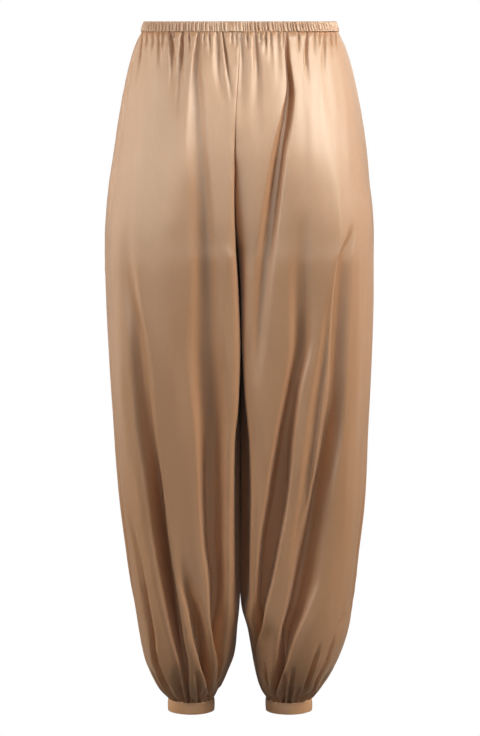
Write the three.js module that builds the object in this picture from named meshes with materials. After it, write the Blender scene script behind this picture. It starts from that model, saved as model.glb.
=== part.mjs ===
// Balloon pants in satin, filled out as when they are worn: an elastic waistband, a front and a back
// panel for each leg, and two ankle cuffs. Every piece is a thin closed wall.
// Millimetres, +Z up, -Y the front, +X the wearer's left. The origin is the centre of the waist
// opening, level with the waistband's top edge. "drop" is the distance below that edge.
import * as THREE from "three";

// Driving dimensions
const CLOTH = 1.2; // thickness of a panel's wall
const SEAM = 0.3; // clearance between two pieces that are sewn together
const BAND = { height: 15, thickness: 4, flare: 4, halfWidth: 148, halfDepth: 98, power: 2.1 };
const CUFF = { top: 1029, height: 18, thickness: 1.6, radius: 35.6, spread: 74.6, setBack: 3 };
const LEG_END = CUFF.top - SEAM; // the drop at which the panels stop, just above the cuffs
const CROTCH_DROP = 350; // the front and back seams meet here and the inseams begin
const SIDE_SEAM_Y = 6; // the side seam sits this far behind the middle of the waist
const LONGEST_DROP = 1100; // the drop at which the side seam would reach the middle
const FOLD_FADE = 26; // folds die away over this distance from a seam
const FOLD_RISE = 0.45; // the part of a fold's length over which it deepens
const FOLD_FALL = 0.12; // the part of its length over which it ends

// Faceting
const STEEPEST = 0.5; // the wall's level offset is worked out for slopes up to this
const PANEL_COLUMNS = 20;
const BAND_SIDES = 44;
const CUFF_SIDES = 28;
const CURVE_STEPS = 60; // points on each of the two arcs that make a section
const PANEL_DROPS = [
  BAND.height + SEAM, 45, 90, 140, 190, 225, 255, 285, 310, 330, 342, CROTCH_DROP, 372, 410, 470,
  550, 630, 710, 785, 850, 900, 940, 970, 995, 1012, 1022, LEG_END,
];

// The form, one row for each level. right and left are the outer edges of the two legs seen from the
// front, gapR and gapL the inner edges, crown the place across where a leg is fullest, front and back
// the depths there, and creaseF and creaseB the depth of the middle seam or, below the crotch, of the
// inseam. squareOut and squareIn say how square the section is outside and inside the crown: 2 is an
// ellipse, and at 7 the two legs lie flat against each other with a narrow slit between them.
const FORM = table(
  "drop right left gapR gapL crown front back creaseF creaseB squareOut squareIn",
  [15, 148, 148, 0, 0, 0, -98, 98, -98, 98, 2.1, 2.1],
  [40, 159, 160, 0, 0, 0, -106, 108, -106, 108, 2.1, 2.2],
  [90, 171, 173, 0, 0, 10, -118, 125, -118, 125, 2.15, 2.6],
  [150, 183, 185, 0, 0, 35, -127, 142, -126, 141, 2.2, 3.4],
  [200, 191, 192, 0, 0, 55, -131, 149, -126, 145, 2.25, 4.6],
  [240, 197, 196, 0, 0, 68, -132, 150, -104, 136, 2.3, 5.6],
  [280, 201, 201, 0, 0, 78, -132, 149, -72, 110, 2.35, 6.4],
  [320, 203, 203, 0, 0, 86, -131, 146, -34, 66, 2.4, 7],
  [CROTCH_DROP, 203, 203, 0, 0, 90, -130, 143, 10, 10, 2.4, 7],
  [400, 202, 203, 0, 0, 93, -127, 138, 10, 10, 2.4, 6.8],
  [500, 198, 201, 0, 0, 95, -121, 131, 10, 10, 2.4, 5.8],
  [600, 192, 196, 0, 0, 95, -115, 126, 10, 10, 2.4, 4.8],
  [700, 185, 191, 0, 0, 93, -109, 121, 10, 10, 2.4, 3.9],
  [800, 174, 181, 0, 0, 89, -103, 114, 9, 9, 2.35, 3.2],
  [880, 162, 171, 1, 2, 84, -97, 107, 8, 8, 2.3, 2.7],
  [920, 155, 165, 5, 12, 81, -92, 101, 7, 7, 2.25, 2.4],
  [955, 148, 154, 8, 17, 79, -85, 93, 6, 6, 2.2, 2.2],
  [985, 138, 141, 18, 21, 77, -73, 80, 5, 5, 2.1, 2.1],
  [1010, 126, 126, 29, 27, 75, -56, 63, 4, 4, 2, 2],
  [1029, 110.2, 110.2, 39, 39, 74.6, -32.6, 38.6, 3, 3, 2, 2],
);

// The largest folds, all of them troughs. x is the place across the panel at the fold's start,
// middle and end, width is from its bottom to its shoulder, and depth is how far it sinks in.
const FOLDS = table(
  "leg face start end xStart xMiddle xEnd width depth",
  ["right", "front", 290, 1010, 168, 130, 80, 26, 20],
  ["right", "front", 30, 960, 64, 52, 27, 22, 10],
  ["left", "front", 20, 440, 72, 56, 24, 20, 13],
  ["left", "front", 300, 940, 102, 66, 20, 23, 17],
  ["left", "front", 370, 1005, 164, 116, 52, 25, 18],
  ["right", "back", 250, 1000, 150, 118, 84, 27, 18],
  ["right", "back", 40, 930, 70, 62, 44, 23, 11],
  ["left", "back", 280, 1005, 156, 128, 92, 28, 17],
  ["left", "back", 60, 900, 88, 74, 50, 24, 12],
);

// The outside of the waistband from its bottom edge up to the roll at its top: lean is how much of the
// flare it has taken in, and level the part of the band's height that it is below the top.
const CASING = table("lean level", [0, 1], [0.45, 0.45], [1, 0.08]);

// Rows of numbers under the names of their columns.
function table(columns, ...rows) {
  const names = columns.split(" ");
  return rows.map((row) => Object.fromEntries(names.map((name, i) => [name, row[i]])));
}

function smoothStep(low, high, x) {
  return THREE.MathUtils.smoothstep(x, low, high);
}

// One column of FORM at any drop, on a smooth curve through the rows that never overshoots them.
function formValue(column, drop) {
  const xs = FORM.map((row) => row.drop);
  const ys = FORM.map((row) => row[column]);
  const steps = xs.slice(1).map((x, i) => x - xs[i]);
  const slopes = steps.map((step, i) => (ys[i + 1] - ys[i]) / step);
  const tangent = (i) => {
    if (i === 0) return slopes[0];
    if (i === slopes.length) return slopes[i - 1];
    if (slopes[i - 1] * slopes[i] <= 0) return 0;
    const before = 2 * steps[i] + steps[i - 1];
    const after = steps[i] + 2 * steps[i - 1];
    return (before + after) / (before / slopes[i - 1] + after / slopes[i]);
  };
  let i = xs.findLastIndex((x) => x <= drop);
  i = THREE.MathUtils.clamp(i, 0, steps.length - 1);
  const t = (drop - xs[i]) / steps[i];
  const rise = t * t * (3 - 2 * t);
  return (
    (1 - rise) * ys[i] +
    rise * ys[i + 1] +
    steps[i] * (t * (1 - t) ** 2 * tangent(i) - t * t * (1 - t) * tangent(i + 1))
  );
}

// A quarter of a superellipse from corner + (rx, 0) to corner + (0, ry), both ends included.
function quarter(cornerX, cornerY, rx, ry, power) {
  return Array.from({ length: CURVE_STEPS + 1 }, (_, i) => {
    const angle = (i / CURVE_STEPS) * (Math.PI / 2);
    const cos = i === CURVE_STEPS ? 0 : Math.cos(angle);
    return new THREE.Vector2(
      cornerX + rx * cos ** (2 / power),
      cornerY + ry * Math.sin(angle) ** (2 / power),
    );
  });
}

// The unfolded outline of one panel of the wearer's left leg at a drop, from the side seam round to
// the middle seam or inseam.
function outline(drop, leg, face) {
  const value = (column) => formValue(column, drop);
  const toward = face === "front" ? -1 : 1;
  const inner = value(leg === "left" ? "gapL" : "gapR") + SEAM / 2;
  const crown = Math.max(value("crown"), inner);
  const sideY = SIDE_SEAM_Y * (1 - drop / LONGEST_DROP) + (toward * SEAM) / 2;
  const crease = value(face === "front" ? "creaseF" : "creaseB") + (toward * SEAM) / 2;
  const full = value(face) + (toward * SEAM) / 2;
  const outerArc = quarter(crown, sideY, value(leg) - crown, full - sideY, value("squareOut"));
  const innerArc = quarter(crown, crease, inner - crown, full - crease, value("squareIn")).reverse();
  return outerArc.concat(innerArc.slice(1));
}

function lengthsAlong(points) {
  let sum = 0;
  return points.map((p, i) => (sum += i ? p.distanceTo(points[i - 1]) : 0));
}

// The value of ys where xs, which only rises or only falls, reaches x.
function lookUp(xs, ys, x) {
  const rising = xs[xs.length - 1] > xs[0];
  let i = xs.findIndex((value) => (rising ? value >= x : value <= x));
  if (i < 0) i = xs.length - 1;
  if (i === 0) return ys[0];
  const t = (x - xs[i - 1]) / (xs[i] - xs[i - 1] || 1);
  return THREE.MathUtils.lerp(ys[i - 1], ys[i], THREE.MathUtils.clamp(t, 0, 1));
}

// Where a fold crosses a drop, as a distance across from the middle of the body.
function foldAcross(fold, along) {
  const straight = THREE.MathUtils.lerp(fold.xStart, fold.xEnd, along);
  const bow = fold.xMiddle - (fold.xStart + fold.xEnd) / 2;
  return straight + 4 * bow * along * (1 - along);
}

// How far the folds sink the cloth at a distance along a panel's outline. A fold deepens slowly from
// its start and ends sooner.
function foldDepth(folds, drop, along, lengths, acrosses) {
  const total = lengths[lengths.length - 1];
  const edge = smoothStep(0, FOLD_FADE, along) * smoothStep(0, FOLD_FADE, total - along);
  return folds.reduce((sum, fold) => {
    const t = (drop - fold.start) / (fold.end - fold.start);
    if (t <= 0 || t >= 1) return sum;
    const swell = smoothStep(0, FOLD_RISE, t) * smoothStep(0, FOLD_FALL, 1 - t);
    const centre = lookUp(acrosses, lengths, foldAcross(fold, t));
    return sum + fold.depth * swell * edge * Math.exp(-(((along - centre) / fold.width) ** 2));
  }, 0);
}

// One row of a panel's outside: points at even spacing along the outline, sunk in by the folds.
function panelRow(drop, leg, face, folds) {
  const points = outline(drop, leg, face);
  const lengths = lengthsAlong(points);
  const acrosses = points.map((p) => p.x);
  const depths = points.map((p) => p.y);
  const total = lengths[lengths.length - 1];
  const inwardTurn = face === "front" ? 1 : -1;
  const at = (s) => new THREE.Vector2(lookUp(lengths, acrosses, s), lookUp(lengths, depths, s));
  return Array.from({ length: PANEL_COLUMNS }, (_, column) => {
    const along = (column / (PANEL_COLUMNS - 1)) * total;
    const ahead = at(Math.min(along + 1, total)).sub(at(Math.max(along - 1, 0))).normalize();
    const inward = new THREE.Vector2(ahead.y, -ahead.x).multiplyScalar(inwardTurn);
    const sunk = foldDepth(folds, drop, along, lengths, acrosses);
    const point = at(along).addScaledVector(inward, sunk);
    return new THREE.Vector3(point.x, point.y, -drop);
  });
}

// The inside of a wall: each point of the outside moved level, square to the surface, so that the
// wall is CLOTH thick and its top and bottom stay flat. Along a seam it is moved only away from the
// panel on the seam's other side.
function insideOf(rows, face) {
  const inwardTurn = face === "front" ? -1 : 1;
  const rowAt = (i) => rows[THREE.MathUtils.clamp(i, 0, rows.length - 1)];
  return rows.map((row, i) =>
    row.map((point, j) => {
      const across = row[Math.min(j + 1, row.length - 1)].clone().sub(row[Math.max(j - 1, 0)]);
      const down = rowAt(i + 1)[j].clone().sub(rowAt(i - 1)[j]);
      const inward = across.cross(down).normalize().multiplyScalar(inwardTurn);
      inward.z = 0;
      const level = Math.max(inward.length(), STEEPEST);
      const sideSeam = j === 0;
      const middleSeam = j === row.length - 1;
      if (sideSeam || (middleSeam && -point.z >= CROTCH_DROP)) {
        inward.y = 0;
      } else if (middleSeam) {
        inward.x = Math.max(inward.x, 0);
      }
      return point.clone().addScaledVector(inward.normalize(), CLOTH / level);
    }),
  );
}

// A closed mesh from its points and triangles, with its faces turned to point out.
function geometryOf(points, index) {
  const sixVolumes = (a, b, c) => points[a].dot(points[b].clone().cross(points[c]));
  let volume = 0;
  for (let i = 0; i < index.length; i += 3) {
    volume += sixVolumes(index[i], index[i + 1], index[i + 2]);
  }
  if (volume < 0) index.reverse();
  const geometry = new THREE.BufferGeometry().setFromPoints(points).setIndex(index);
  geometry.computeVertexNormals();
  return geometry;
}

// A wall between an outside grid and an inside grid of the same size, closed along all four edges.
function wallMesh(outside, inside) {
  const height = outside.length;
  const width = outside[0].length;
  const points = outside.flat().concat(inside.flat());
  const out = (i, j) => i * width + j;
  const within = (i, j) => height * width + out(i, j);
  const index = [];
  const quad = (a, b, c, d) => index.push(a, b, c, c, b, d);
  for (let i = 0; i < height - 1; i++) {
    for (let j = 0; j < width - 1; j++) {
      quad(out(i, j), out(i + 1, j), out(i, j + 1), out(i + 1, j + 1));
      quad(within(i, j + 1), within(i + 1, j + 1), within(i, j), within(i + 1, j));
    }
    quad(out(i + 1, 0), out(i, 0), within(i + 1, 0), within(i, 0));
    quad(out(i, width - 1), out(i + 1, width - 1), within(i, width - 1), within(i + 1, width - 1));
  }
  for (let j = 0; j < width - 1; j++) {
    quad(out(0, j), out(0, j + 1), within(0, j), within(0, j + 1));
    const last = height - 1;
    quad(out(last, j + 1), out(last, j), within(last, j + 1), within(last, j));
  }
  return geometryOf(points, index);
}

// A panel of one leg. The right leg is made as a left one and mirrored across the middle.
function panelGeometry(leg, face) {
  const folds = FOLDS.filter((fold) => fold.leg === leg && fold.face === face);
  const outside = PANEL_DROPS.map((drop) => panelRow(drop, leg, face, folds));
  const inside = insideOf(outside, face);
  const side = new THREE.Vector3(leg === "left" ? 1 : -1, 1, 1);
  for (const point of [...outside.flat(), ...inside.flat()]) {
    point.multiply(side);
  }
  return wallMesh(outside, inside);
}

// A ring with a closed profile of [outward, drop] points, swept round a superellipse.
function ringGeometry(centre, halfWidth, halfDepth, power, profile, sides) {
  const round = (v) => Math.sign(v) * Math.abs(v) ** (2 / power);
  const points = [];
  const index = [];
  const id = (i, j) => (i % sides) * profile.length + (j % profile.length);
  for (let i = 0; i < sides; i++) {
    const angle = (i / sides) * Math.PI * 2;
    profile.forEach(([outward, drop], j) => {
      const x = centre.x + (halfWidth + outward) * round(Math.cos(angle));
      const y = centre.y + (halfDepth + outward) * round(Math.sin(angle));
      points.push(new THREE.Vector3(x, y, -drop));
      index.push(id(i, j), id(i + 1, j), id(i, j + 1));
      index.push(id(i, j + 1), id(i + 1, j), id(i + 1, j + 1));
    });
  }
  return geometryOf(points, index);
}

// The waistband is a folded casing round its elastic: rolled over at the top and wider below.
function waistbandGeometry() {
  const { height, thickness, flare, halfWidth, halfDepth, power } = BAND;
  const outside = CASING.map(({ lean, level }) => [-flare * lean, height * level]);
  const crest = [-flare - thickness / 2, 0];
  const inside = outside.map(([outward, drop]) => [outward - thickness, drop]).reverse();
  const profile = [...outside, crest, ...inside];
  return ringGeometry({ x: 0, y: 0 }, halfWidth, halfDepth, power, profile, BAND_SIDES);
}

function cuffGeometry(side) {
  const { top, height, thickness, radius, spread, setBack } = CUFF;
  const hem = top + height;
  const profile = [
    [0, top],
    [0, hem],
    [-thickness, hem],
    [-thickness, top],
  ];
  return ringGeometry({ x: side * spread, y: setBack }, radius, radius, 2, profile, CUFF_SIDES);
}

function satin(colour, roughness) {
  return new THREE.MeshStandardMaterial({ color: colour, roughness, metalness: 0 });
}

const BODY_SATIN = satin(0xc29a77, 0.38);
const BAND_SATIN = satin(0xc7a07d, 0.42);
const CUFF_SATIN = satin(0xb58a66, 0.42);

function piece(name, geometry, material) {
  const mesh = new THREE.Mesh(geometry, material);
  mesh.name = name;
  return mesh;
}

function legGroup(leg) {
  const group = new THREE.Group();
  group.add(piece(`front_${leg}`, panelGeometry(leg, "front"), BODY_SATIN));
  group.add(piece(`back_${leg}`, panelGeometry(leg, "back"), BODY_SATIN));
  group.add(piece(`cuff_${leg}`, cuffGeometry(leg === "left" ? 1 : -1), CUFF_SATIN));
  return group;
}

const pants = new THREE.Group();
pants.add(piece("waistband", waistbandGeometry(), BAND_SATIN));
pants.add(legGroup("right"));
pants.add(legGroup("left"));

export default pants;
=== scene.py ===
import math
import random
from collections import namedtuple

import bpy
import numpy as np
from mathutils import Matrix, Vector, noise


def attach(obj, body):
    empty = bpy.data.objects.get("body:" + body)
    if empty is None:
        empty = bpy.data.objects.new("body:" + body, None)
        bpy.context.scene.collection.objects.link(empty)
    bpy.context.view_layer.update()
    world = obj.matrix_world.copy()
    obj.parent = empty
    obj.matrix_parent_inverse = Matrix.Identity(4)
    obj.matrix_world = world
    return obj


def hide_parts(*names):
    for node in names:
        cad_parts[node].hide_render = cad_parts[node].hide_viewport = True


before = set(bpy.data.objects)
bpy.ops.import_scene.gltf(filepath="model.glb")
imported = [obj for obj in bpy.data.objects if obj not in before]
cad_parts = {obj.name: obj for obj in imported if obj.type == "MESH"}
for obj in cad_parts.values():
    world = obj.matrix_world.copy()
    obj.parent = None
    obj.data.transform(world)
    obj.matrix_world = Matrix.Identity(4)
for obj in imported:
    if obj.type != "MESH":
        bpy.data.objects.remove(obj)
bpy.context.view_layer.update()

MM = 0.001
SIDE = {"right": -1, "left": 1}  # the way across from the middle of the body

# The waistband, the cuffs and the cloth
BAND_DROP = 15.0  # the waistband's bottom edge
CUFF_DROP = 1029.0  # the cuffs' top edge
HEM_DROP = 1047.0  # the cuffs' bottom edge
CLOTH = 0.9  # thickness of a panel's shell
SIDE_SEAM_Y = 6.0  # how far behind the middle the side seam is at the top
LONGEST_DROP = 1100.0  # the drop at which the side seam would reach the middle
SEAM_HALF_GAP = 0.05  # half the space between two panels at a seam

PANEL_COLUMNS = 200  # points across a panel
ROW_STEPS = 500  # points along a row where the closeness of the columns is worked out
CURVE_STEPS = 90  # points on each of the two arcs of a panel's outline


def table(columns, *rows):
    """Rows of numbers under the names of their columns, as one array for each column."""
    return {name: np.array(values, float) for name, values in zip(columns.split(), zip(*rows))}


# The form of the body and legs, one row for each level. right and left are the outer edges of the two
# legs seen from the front, gapR and gapL the inner edges, crown the place across where a leg is
# fullest, front and back the depths there, creaseF and creaseB the depth of the middle seam or, below
# the crotch, of the inseam. The last three say how square the section is: outside the crown, and
# inside it on the right and the left leg.
FORM = table(
    "drop right left gapR gapL crown front back creaseF creaseB squareOut squareR squareL",
    [15, 148, 148, 0, 0, 0, -98, 98, -98, 98, 2.1, 2.1, 2.1],
    [40, 159, 160, 0, 0, 0, -106, 108, -106, 108, 2.1, 2.2, 2.2],
    [90, 171, 173, 0, 0, 10, -118, 125, -118, 125, 2.15, 2.4, 2.4],
    [150, 182, 184, 0, 0, 35, -127, 142, -126.2, 141, 2.2, 2.6, 2.4],
    [200, 190, 191, 0, 0, 55, -131, 149, -122, 145, 2.25, 9, 2.8],
    [240, 196, 195, 0, 0, 68, -132, 150, -106, 136, 2.3, 16, 3.8],
    [280, 200, 200, 0, 0, 78, -132, 149, -78, 110, 2.35, 17, 4.8],
    [320, 202, 202, 0, 0, 86, -131, 146, -38, 66, 2.4, 15, 5.6],
    [350, 202, 202, 0, 0, 90, -130, 143, 10, 10, 2.4, 14, 6.4],
    [400, 201, 202, 0, 0, 93, -127, 138, 10, 10, 2.4, 13, 8],
    [500, 197, 200, 0, 0, 95, -121, 131, 10, 10, 2.4, 13, 12],
    [600, 191, 195, 0, 0, 95, -115, 126, 10, 10, 2.4, 14, 14],
    [700, 184, 190, 0, 0, 93, -109, 121, 10, 10, 2.4, 14, 14],
    [800, 173, 180, 0, 0, 89, -103, 114, 9, 9, 2.35, 12, 13],
    [845, 167.5, 175.5, 0, 0, 86.5, -99.8, 110.3, 8.5, 8.5, 2.32, 8, 10],
    [880, 161.5, 170.5, 1, 2, 84, -97, 107, 8, 8, 2.3, 5, 6],
    [920, 154.5, 164.5, 5, 12, 81, -92, 101, 7, 7, 2.25, 3.2, 3],
    [955, 147.5, 153.5, 8, 17, 79, -85, 93, 6, 6, 2.2, 2.5, 2.4],
    [985, 137.5, 140.5, 18, 21, 77, -73, 80, 5, 5, 2.1, 2.2, 2.2],
    [1010, 125.5, 125.5, 29, 27, 75, -56, 63, 4, 4, 2, 2, 2],
    [1029, 110.2, 110.2, 39, 39, 74.6, -32.6, 38.6, 3, 3, 2, 2, 2],
)

# The front edges of the two legs beside the slit, by drop: each leg's distance from the middle there.
# A negative number is past the middle. Behind them the cloth leans back to the inseam.
SLIT = table(
    "drop right left",
    [15, 1, -1], [60, 2, -2], [120, 5.5, -5.5], [150, 6.8, -6.6],
    [200, 8.2, -7.4], [260, 8.4, -7.6], [302, 7.4, -6.6], [345, 5.2, -3.8],
    [405, 1.6, 0.6], [478, -0.6, 3.2], [552, 1.5, 7], [627, 7.6, 13],
    [702, 8, 14], [800, 7.5, 14], [850, 6, 12], [890, 1, 3],
    [920, 0, 0],
)
SLIT_REACH = 24.0  # how far from the middle the cloth is drawn along
SLIT_TOP = 190.0  # where the legs begin to lie against each other
LEGS_PART = 880.0  # where they part again
SIDE_FADE = 16.0  # the distance from the side seam in which folds fade out
BAND_TUCK = 1.3  # how far a panel sinks in at the waistband
BAND_PUFF = 0.9  # how far it swells out below that
CUFF_TUCK = 0.8  # how far it sinks in at the cuff
SEAM_SINK = 0.8  # depth of a seam's line
SEAM_LINE = 1.6  # half its width
PUCKER_REACH = 7.0  # how far from a seam its stitches draw the cloth in
COARSE_RIPPLE = 2.6  # the most that the cloth's broad sway moves it
FINE_RIPPLE = 1.1  # and its fine sway
CREST = 0.06  # how far the cloth beside a fold rises, as a share of its depth


def curve(xs, ys, at):
    """A smooth curve through points that never overshoots them (a monotone cubic)."""
    steps = np.diff(xs)
    slopes = np.diff(ys) / steps
    tangents = np.zeros(len(xs))
    tangents[0], tangents[-1] = slopes[0], slopes[-1]
    for i in range(1, len(xs) - 1):
        if slopes[i - 1] * slopes[i] > 0:
            before = 2 * steps[i] + steps[i - 1]
            after = steps[i] + 2 * steps[i - 1]
            tangents[i] = (before + after) / (before / slopes[i - 1] + after / slopes[i])
    at = np.clip(at, xs[0], xs[-1])
    i = np.clip(np.searchsorted(xs, at, side="right") - 1, 0, len(xs) - 2)
    step = steps[i]
    t = (at - xs[i]) / step
    rise = t * t * (3 - 2 * t)
    bend = step * (t * (1 - t) ** 2 * tangents[i] - t * t * (1 - t) * tangents[i + 1])
    return (1 - rise) * ys[i] + rise * ys[i + 1] + bend


def form(column, drops):
    return curve(FORM["drop"], FORM[column], drops)


def smooth(low, high, x):
    """0 below low, 1 above high and an even rise between."""
    t = np.clip((np.asarray(x, float) - low) / (high - low), 0, 1)
    return t * t * (3 - 2 * t)


def bell(t):
    """1 at 0, falling away evenly on both sides."""
    return np.exp(-(t**2))


def spaced(*stretches):
    """Row positions over neighbouring stretches, each given as (start, end, spacing)."""
    rows = []
    for start, end, spacing in stretches:
        rows.extend(np.linspace(start, end, max(2, round((end - start) / spacing)), endpoint=False))
    rows.append(stretches[-1][1])
    return np.array(rows)


# The rows of a panel, close together where the cloth is gathered. A panel starts just inside the
# waistband and ends just inside the cuff.
PANEL_TOP = BAND_DROP - 1.6
PANEL_END = CUFF_DROP + 1.4
DROPS = spaced(
    (PANEL_TOP, 18, 0.8),
    (18, 60, 1.7),
    (60, 200, 3.5),
    (200, 880, 6.8),
    (880, 970, 3.3),
    (970, PANEL_END, 1.5),
)


def quarter(corner_x, corner_y, rx, ry, power):
    """A quarter of a superellipse from corner + (rx, 0) to corner + (0, ry)."""
    angle = np.linspace(0, math.pi / 2, CURVE_STEPS)
    cos, sin = np.cos(angle), np.sin(angle)
    cos[-1] = 0
    return np.column_stack([corner_x + rx * cos ** (2 / power), corner_y + ry * sin ** (2 / power)])


def outline(drop, leg, face):
    """The unfolded outline of a panel at one drop, from its middle seam or inseam to its side seam."""
    value = {name: float(form(name, drop)) for name in FORM if name != "drop"}
    toward = -1 if face == "front" else 1
    inner = value["gapL" if leg == "left" else "gapR"] + SEAM_HALF_GAP
    crown = max(value["crown"], inner)
    side_y = SIDE_SEAM_Y * (1 - drop / LONGEST_DROP) + toward * SEAM_HALF_GAP
    crease = value["creaseF" if face == "front" else "creaseB"] + toward * SEAM_HALF_GAP
    full = value[face]
    square_in = value["squareL" if leg == "left" else "squareR"]
    outer_arc = quarter(crown, side_y, value[leg] - crown, full - side_y, value["squareOut"])
    inner_arc = quarter(crown, crease, inner - crown, full - crease, square_in)
    return np.vstack([inner_arc, outer_arc[::-1][1:]])


# A fold sinks the cloth along a route. Each of its rows gives a drop, the distance across of the
# middle of its floor, half the width of that floor, the widths of its two walls, on the side towards
# the middle of the body (inner) and on the other side (outer), and its depth. For a fold on the side,
# the distance is from the side seam, over 0 towards the back, and inner is the front wall.
FOLD_COLUMNS = "drop across floor inner outer depth"
FOLDS = {}
FOLDS["right", "front"] = [
    # the great fold, from the hip to the cuff
    [[290, 168, 1, 18, 20, 0], [391, 161, 1, 18, 20, 5], [464, 151, 1.5, 18, 19, 11.2],
     [538, 145, 2, 20, 18, 15], [612, 138, 2.5, 19, 17, 22], [688, 128, 5, 12, 11, 31],
     [764, 117, 7, 5, 9, 41], [825, 107.5, 7, 4, 7, 43], [871, 100, 6.5, 4, 6, 41],
     [918, 92, 5, 4, 5, 34], [958, 84, 4, 4, 4, 24], [992, 81, 2.4, 3.5, 3, 16],
     [1016, 79, 1.5, 3, 2.5, 11], [1031, 78, 1, 2, 2, 4]],
    # the fold at the outer edge, above the cuff
    [[740, 164, 1, 9, 9, 0], [764, 159, 1, 8, 9, 3], [825, 148.5, 1.5, 8, 9, 7], [871, 141, 2, 6, 9, 15],
     [918, 132, 3, 3, 8, 20], [958, 129, 2.5, 3, 6, 16.2], [985, 121, 2, 3, 4, 11.2],
     [1014, 112, 1, 3, 3, 0]],
    # the second fold above the cuff
    [[790, 88, 1, 12, 9, 0], [825, 84, 1.5, 13, 9, 4], [871, 72, 2, 17, 6, 15],
     [918, 63.5, 2.5, 17, 5, 27], [958, 54.5, 2, 14, 4, 27], [992, 46, 2.5, 4, 4, 17.5],
     [1016, 45, 1.5, 3, 3, 9], [1031, 47, 1, 2, 2, 3]],
    # the long fold beside the inner edge, from the waistband down
    [[14, 59.5, 0.5, 3, 3, 4], [33, 61, 1, 5, 5, 6], [70, 64, 1.6, 8, 7, 7], [99, 63, 1.6, 11, 12, 7.5],
     [135, 62, 1.6, 13, 16, 8], [185, 59, 1.6, 14, 19, 8.5], [244, 55, 2, 16, 21, 9],
     [317, 52, 2.5, 20, 24, 11], [391, 51, 3, 24, 24, 12.5], [464, 51, 4, 26, 26, 14],
     [538, 48, 6, 30, 21, 18], [612, 44, 6, 30, 17, 24], [688, 45, 6, 31, 12, 29],
     [764, 44, 5, 29, 9, 33], [825, 37.5, 4, 24, 8, 35], [871, 36, 5, 18, 6, 33],
     [918, 34, 2.5, 16, 5, 27], [958, 30, 1.5, 6, 5, 17.5], [1000, 34, 1, 3, 3, 0]],
    # short crisp folds that run out of the cuff
    [[968, 66, 0.6, 5, 4, 0], [990, 63, 1, 4, 3, 7], [1012, 61, 1.2, 3, 2.5, 10],
     [1031, 61, 0.8, 2, 2, 4]],
    [[984, 97, 0.6, 4, 4, 0], [1002, 94, 1, 3.5, 3, 7], [1016, 92, 1.2, 3, 2.5, 9],
     [1031, 90, 0.8, 2, 2, 4]],
    [[930, 131, 0.6, 5, 4, 0], [965, 122.5, 1, 4, 3, 7], [1000, 110, 1.2, 3, 3, 9],
     [1020, 103, 1, 3, 2, 7], [1031, 101, 0.8, 2, 2, 3]],
]
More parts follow.
